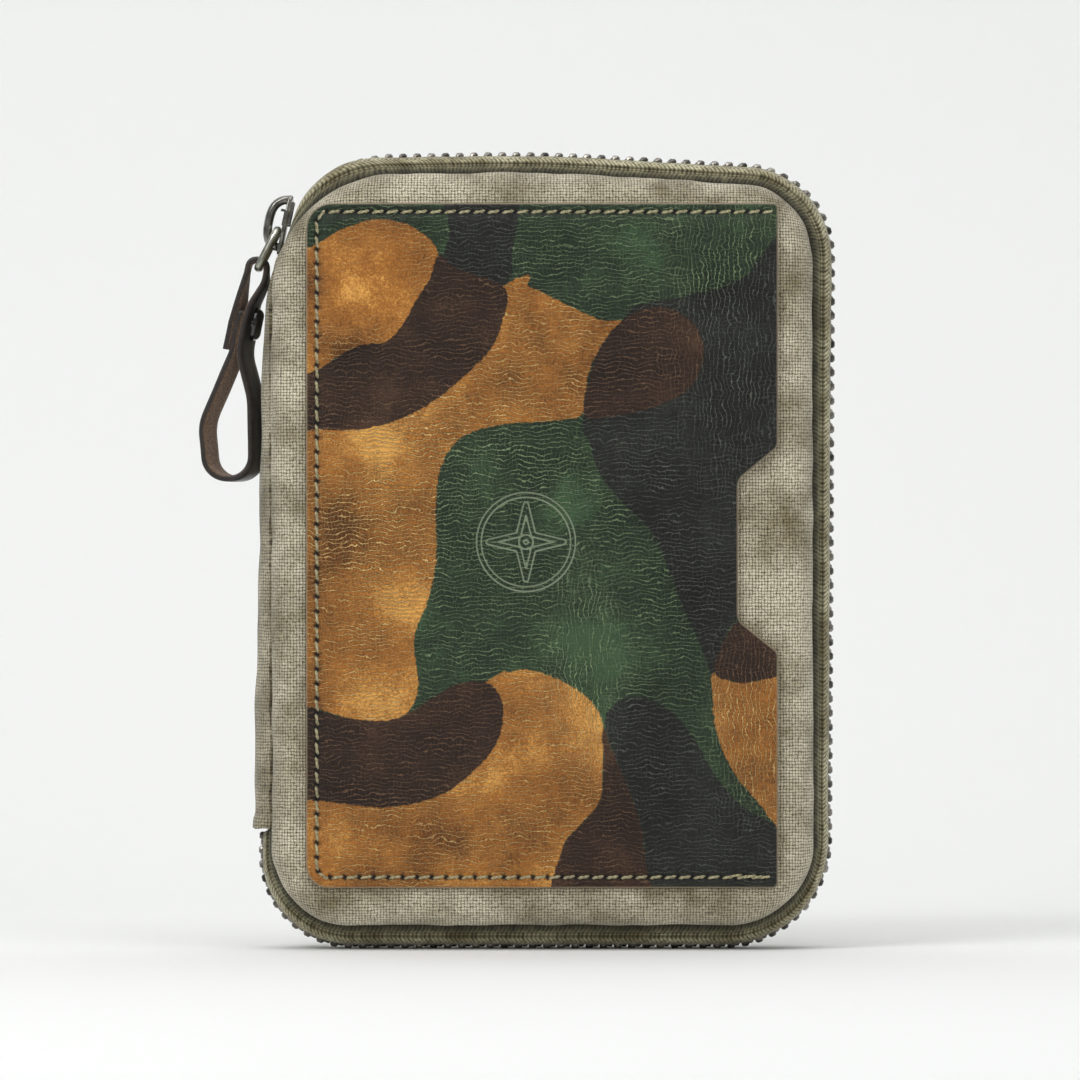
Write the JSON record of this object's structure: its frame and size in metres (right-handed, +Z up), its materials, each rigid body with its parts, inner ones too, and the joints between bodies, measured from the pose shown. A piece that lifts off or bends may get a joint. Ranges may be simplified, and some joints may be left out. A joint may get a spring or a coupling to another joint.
{
  "type": "zippered pouch",
  "caption": "Padded canvas book-style pouch that zips round three sides, with a leather slip pocket and a strap pull.",
  "frame": {"origin": "on the floor under the middle of the pouch, at the lowest zip teeth, on the flat edge of the tooth that stands halfway between the two halves", "axes": "+X to the right seen from the front, +Y to the back, +Z up with the pouch standing on its zip"},
  "size_m": [0.1268, 0.0321, 0.1601],
  "materials": {
    "canvas": "woven khaki canvas",
    "foam": "soft foam",
    "board": "matte",
    "lining": "fine plain weave",
    "binding": "grosgrain",
    "camo_leather": "waxed pull-up, crackled",
    "thread": "waxed thread",
    "zip_tape": "herringbone woven",
    "gunmetal": "polished gunmetal plate",
    "nickel": "antique nickel",
    "strap_leather": "smooth dark brown, suede inside"
  },
  "bodies": {
    "back_cover": {"back_canvas": "canvas", "back_foam": "foam", "back_board": "board", "back_lining": "lining", "back_seam_binding": "binding", "zip_tape_back": "zip_tape", "zip_teeth_back_base": "gunmetal", "zip_teeth_back_run": "gunmetal"},
    "spine": {"spine_canvas": "canvas", "spine_lining": "lining", "tape_end_top_front": "zip_tape", "tape_end_top_back": "zip_tape", "tape_end_low_front": "zip_tape", "tape_end_low_back": "zip_tape", "zip_teeth_front_end_low": "gunmetal", "zip_teeth_front_end_top": "gunmetal", "zip_teeth_back_end_low": "gunmetal", "zip_teeth_back_end_top": "gunmetal", "zip_top_stops": "gunmetal", "zip_bottom_stop": "gunmetal"},
    "front_cover": {"front_canvas": "canvas", "front_foam": "foam", "front_board": "board", "front_lining": "lining", "front_seam_binding": "binding", "leather_pocket": "camo_leather", "pocket_stitching": "thread", "zip_tape_front": "zip_tape", "zip_teeth_front_base": "gunmetal", "zip_teeth_front_run": "gunmetal"},
    "slider": {"slider_body": "gunmetal", "slider_crown": "gunmetal", "slider_lock_spring": "gunmetal"},
    "ring": {"pull_ring": "nickel"},
    "strap": {"pull_strap": "strap_leather", "rivet_cap": "gunmetal", "rivet_post": "gunmetal"}
  },
  "joints": [
    {"name": "spine_fold", "type": "hinge", "parent": "back_cover", "child": "spine", "pos_m": [-0.0541, 0.0086, 0.08], "axis": [0, 0, -1], "range_deg": [0, 90]},
    {"name": "front_fold", "type": "hinge", "parent": "spine", "child": "front_cover", "pos_m": [-0.0541, -0.0086, 0.08], "axis": [0, 0, -1], "range_deg": [0, 90]},
    {"name": "slider_run", "type": "hinge", "parent": "spine", "child": "slider", "pos_m": [-0.03324, 0, 0.14147], "axis": [0, 1, 0], "range_deg": [0, 42]},
    {"name": "ring_swing", "type": "hinge", "parent": "slider", "child": "ring", "pos_m": [-0.05315, 0, 0.14447], "axis": [0, 1, 0], "range_deg": [0, 120]},
    {"name": "strap_swing", "type": "hinge", "parent": "ring", "child": "strap", "pos_m": [-0.057, 0, 0.1369], "axis": [0, 1, 0], "range_deg": [0, 80]}
  ],
  "couplings": [
    {"joint": "front_fold", "follows": "spine_fold", "ratio": 1}
  ]
}
